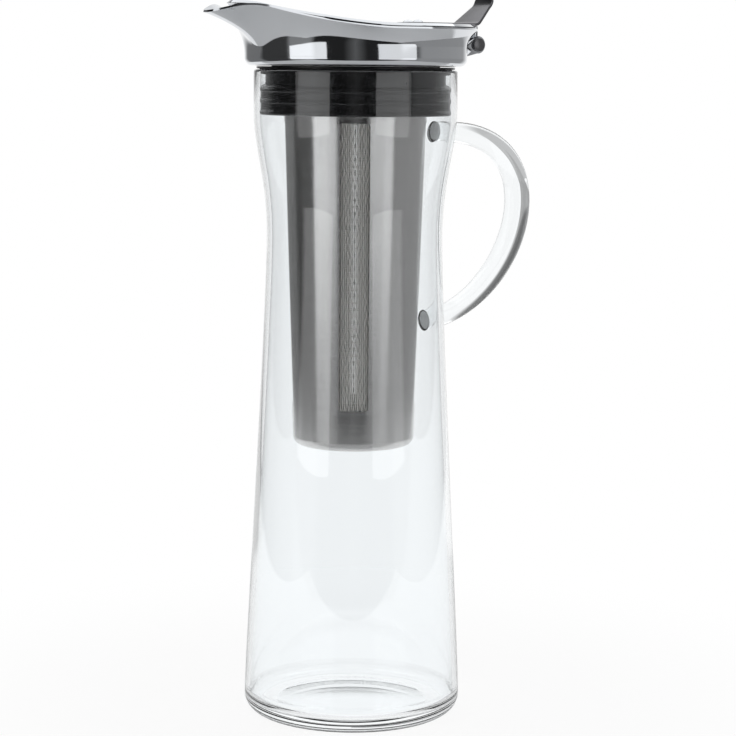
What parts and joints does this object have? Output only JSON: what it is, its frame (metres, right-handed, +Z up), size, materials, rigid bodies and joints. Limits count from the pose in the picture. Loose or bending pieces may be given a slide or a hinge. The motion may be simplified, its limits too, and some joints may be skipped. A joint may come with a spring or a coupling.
{
  "type": "cold brew coffee pitcher",
  "caption": "Tall waisted glass jug with a rod handle, a silicone stopper, a hanging steel filter cup with mesh strips, and a steel pouring lid with a thumb-lever flap.",
  "frame": {"origin": "middle of the flat ring that the jug stands on, on the jug's axis", "axes": "+Z up along the jug's axis, +X towards the handle and the thumb lever, -X towards the spout"},
  "size_m": [0.1738, 0.109, 0.3257],
  "materials": {
    "glass": "clear blown borosilicate glass",
    "silicone": "satin moulded black silicone",
    "polished_steel": "mirror polished stainless steel",
    "dark_steel": "satin stainless steel",
    "filter_steel": "drawn stainless steel sheet, lightly polished",
    "mesh_steel": "fine stainless mesh"
  },
  "bodies": {
    "jug": {"glass_jug": "glass", "glass_handle": "glass"},
    "stopper": {"stopper_gasket": "silicone"},
    "filter": {"filter_cup": "filter_steel", "filter_ring": "filter_steel", "mesh_strip_1": "mesh_steel", "mesh_strip_2": "mesh_steel", "mesh_strip_3": "mesh_steel", "mesh_strip_4": "mesh_steel"},
    "lid": {"spout_collar": "polished_steel", "collar_sleeve": "polished_steel", "hinge_bracket": "polished_steel", "hinge_pin": "dark_steel"},
    "flap": {"lid_flap": "polished_steel", "hinge_knuckle": "polished_steel", "thumb_lever": "dark_steel", "lever_rivets": "polished_steel"}
  },
  "joints": [
    {"name": "stopper_lift", "type": "slide", "parent": "jug", "child": "stopper", "axis": [0, 0, 1], "range_m": [0, 0.03]},
    {"name": "filter_lift", "type": "slide", "parent": "stopper", "child": "filter", "axis": [0, 0, 1], "range_m": [0, 0.165]},
    {"name": "lid_lift", "type": "slide", "parent": "filter", "child": "lid", "axis": [0, 0, 1], "range_m": [0, 0.04]},
    {"name": "flap_hinge", "type": "hinge", "parent": "lid", "child": "flap", "pos_m": [0.06, 0, 0.3037], "axis": [0, 1, 0], "range_deg": [0, 75]}
  ]
}
